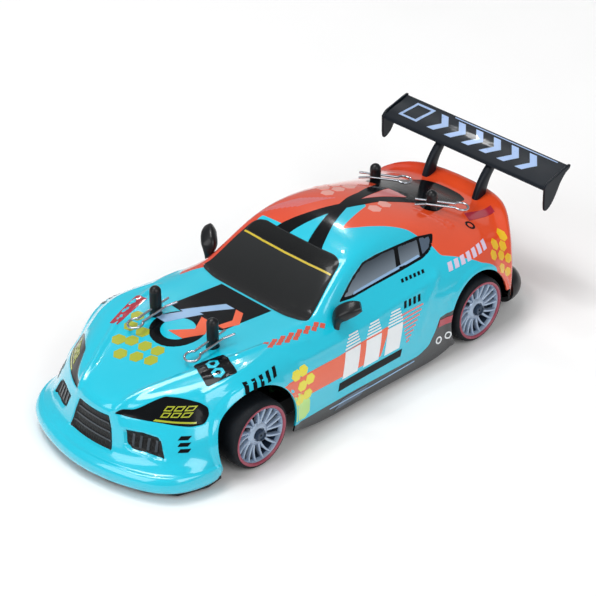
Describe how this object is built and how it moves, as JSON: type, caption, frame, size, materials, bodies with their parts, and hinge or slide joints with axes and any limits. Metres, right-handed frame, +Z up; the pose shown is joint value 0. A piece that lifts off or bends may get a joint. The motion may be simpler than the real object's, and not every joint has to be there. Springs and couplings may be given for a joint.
{
  "type": "remote control car",
  "caption": "Radio-controlled coupe car: clip-on body shell with rear wing, steered front wheels, sprung rear drive pod with gears, and a chassis with battery, servo and switch.",
  "frame": {"origin": "on the ground plane, under the middle of the car", "axes": "+Z up, front of the car towards -Y, +X to the car's left"},
  "size_m": [0.1176, 0.2846, 0.0764],
  "materials": {
    "turquoise_shell": "glossy painted polycarbonate",
    "black_plastic": "satin moulded",
    "gloss_black": "glossy",
    "chassis_plastic": "fine moulded grain",
    "rim_silver": "plated silver-blue",
    "tyre_rubber": "matt",
    "spring_steel": "bright",
    "pin_steel": "ground",
    "screw_steel": "zinc plated",
    "gear_nylon": "satin nylon",
    "motor_can": "rolled steel can",
    "battery_wrap": "shrink wrap",
    "board_green": "solder mask",
    "servo_blue": "moulded",
    "white_plastic": "moulded"
  },
  "bodies": {
    "chassis": {"chassis_tub": "chassis_plastic", "front_lower_arms": "chassis_plastic", "front_upper_arms": "chassis_plastic", "rear_tower": "chassis_plastic", "front_undertray": "black_plastic", "rear_diffuser": "gloss_black", "body_post_front_left": "black_plastic", "body_post_front_right": "black_plastic", "body_post_rear_left": "black_plastic", "body_post_rear_right": "black_plastic", "battery_pack": "battery_wrap", "battery_cover": "chassis_plastic", "receiver_board": "board_green", "steering_servo": "servo_blue", "switch_housing": "black_plastic", "pod_hinge_pin": "pin_steel", "chassis_screws": "screw_steel", "body_shell": "turquoise_shell", "wing_blade": "gloss_black", "wing_end_plate_left": "gloss_black", "wing_end_plate_right": "gloss_black", "wing_stanchion_left": "gloss_black", "wing_stanchion_right": "gloss_black", "mirror_left": "gloss_black", "mirror_right": "gloss_black", "kingpin_spring_left": "spring_steel", "kingpin_spring_right": "spring_steel", "pod_springs": "spring_steel"},
    "clip_front_left": {"body_clip_front_left": "spring_steel"},
    "clip_front_right": {"body_clip_front_right": "spring_steel"},
    "clip_rear_left": {"body_clip_rear_left": "spring_steel"},
    "clip_rear_right": {"body_clip_rear_right": "spring_steel"},
    "kingpin_left_body": {"kingpin_left": "pin_steel"},
    "kingpin_right_body": {"kingpin_right": "pin_steel"},
    "steering_left": {"knuckle_left": "chassis_plastic"},
    "steering_right": {"knuckle_right": "chassis_plastic"},
    "track_rod": {"tie_bar": "chassis_plastic"},
    "horn": {"servo_horn": "white_plastic"},
    "front_left_wheel": {"front_left_rim": "rim_silver", "front_left_tyre": "tyre_rubber", "front_left_nut": "black_plastic"},
    "front_right_wheel": {"front_right_rim": "rim_silver", "front_right_tyre": "tyre_rubber", "front_right_nut": "black_plastic"},
    "rear_pod": {"pod_case": "chassis_plastic", "drive_motor": "motor_can"},
    "driven_axle": {"rear_axle": "pin_steel", "axle_gear": "gear_nylon", "rear_axle_nuts": "black_plastic", "rear_left_rim": "rim_silver", "rear_left_tyre": "tyre_rubber", "rear_right_rim": "rim_silver", "rear_right_tyre": "tyre_rubber"},
    "reduction_gear": {"compound_gear": "gear_nylon"},
    "pinion": {"motor_pinion": "pin_steel"},
    "power_slider": {"switch_slider": "white_plastic"}
  },
  "joints": [
    {"name": "kingpin_slide_left", "type": "slide", "parent": "chassis", "child": "kingpin_left_body", "axis": [0, 0, 1], "range_m": [0, 0.002], "stiffness_N_per_m": 400, "springref_m": -0.005, "deforming": ["kingpin_spring_left"]},
    {"name": "kingpin_slide_right", "type": "slide", "parent": "chassis", "child": "kingpin_right_body", "axis": [0, 0, 1], "range_m": [0, 0.002], "stiffness_N_per_m": 400, "springref_m": -0.005, "deforming": ["kingpin_spring_right"]},
    {"name": "steer_left", "type": "hinge", "parent": "kingpin_left_body", "child": "steering_left", "pos_m": [0.042, -0.0775, 0.0176], "axis": [0, 0, 1], "range_deg": [-22, 22]},
    {"name": "steer_right", "type": "hinge", "parent": "kingpin_right_body", "child": "steering_right", "pos_m": [-0.042, -0.0775, 0.0176], "axis": [0, 0, 1], "range_deg": [-22, 22]},
    {"name": "track_rod_slide", "type": "slide", "parent": "chassis", "child": "track_rod", "axis": [1, 0, 0], "range_m": [-0.003, 0.003]},
    {"name": "servo_horn_turn", "type": "hinge", "parent": "chassis", "child": "horn", "pos_m": [0, -0.0625, 0.0235], "axis": [0, 0, 1], "range_deg": [-22.5, 22.5]},
    {"name": "front_left_wheel_spin", "type": "hinge", "parent": "steering_left", "child": "front_left_wheel", "pos_m": [0.05, -0.0775, 0.0176], "axis": [1, 0, 0], "continuous": true},
    {"name": "front_right_wheel_spin", "type": "hinge", "parent": "steering_right", "child": "front_right_wheel", "pos_m": [-0.05, -0.0775, 0.0176], "axis": [1, 0, 0], "continuous": true},
    {"name": "pod_hinge_turn", "type": "hinge", "parent": "chassis", "child": "rear_pod", "pos_m": [0, 0.0455, 0.011], "axis": [1, 0, 0], "range_deg": [0, 5], "stiffness_Nm_per_rad": 2, "springref_deg": -3.44, "deforming": ["pod_springs"]},
    {"name": "driven_axle_spin", "type": "hinge", "parent": "rear_pod", "child": "driven_axle", "pos_m": [0, 0.0765, 0.0176], "axis": [1, 0, 0], "continuous": true},
    {"name": "reduction_gear_spin", "type": "hinge", "parent": "rear_pod", "child": "reduction_gear", "pos_m": [-0.0185, 0.06762, 0.02574], "axis": [1, 0, 0], "continuous": true},
    {"name": "pinion_spin", "type": "hinge", "parent": "rear_pod", "child": "pinion", "pos_m": [-0.0175, 0.0585, 0.0195], "axis": [1, 0, 0], "continuous": true},
    {"name": "clip_front_left_pull", "type": "slide", "parent": "chassis", "child": "clip_front_left", "axis": [0, -0.9903, -0.1392], "range_m": [0, 0.018]},
    {"name": "clip_front_right_pull", "type": "slide", "parent": "chassis", "child": "clip_front_right", "axis": [0, -0.9903, -0.1392], "range_m": [0, 0.018]},
    {"name": "clip_rear_left_pull", "type": "slide", "parent": "chassis", "child": "clip_rear_left", "axis": [0.7002, 0.7002, -0.1392], "range_m": [0, 0.018]},
    {"name": "clip_rear_right_pull", "type": "slide", "parent": "chassis", "child": "clip_rear_right", "axis": [0.7002, 0.7002, -0.1392], "range_m": [0, 0.018]},
    {"name": "power_slider_slide", "type": "slide", "parent": "chassis", "child": "power_slider", "axis": [0, 1, 0], "range_m": [0, 0.004]}
  ],
  "couplings": [
    {"joint": "steer_right", "follows": "steer_left", "ratio": 1},
    {"joint": "track_rod_slide", "follows": "steer_left", "m_per_rad": -0.007317},
    {"joint": "servo_horn_turn", "follows": "steer_left", "ratio": -1},
    {"joint": "reduction_gear_spin", "follows": "driven_axle_spin", "ratio": -3},
    {"joint": "pinion_spin", "follows": "driven_axle_spin", "ratio": 10.2}
  ]
}
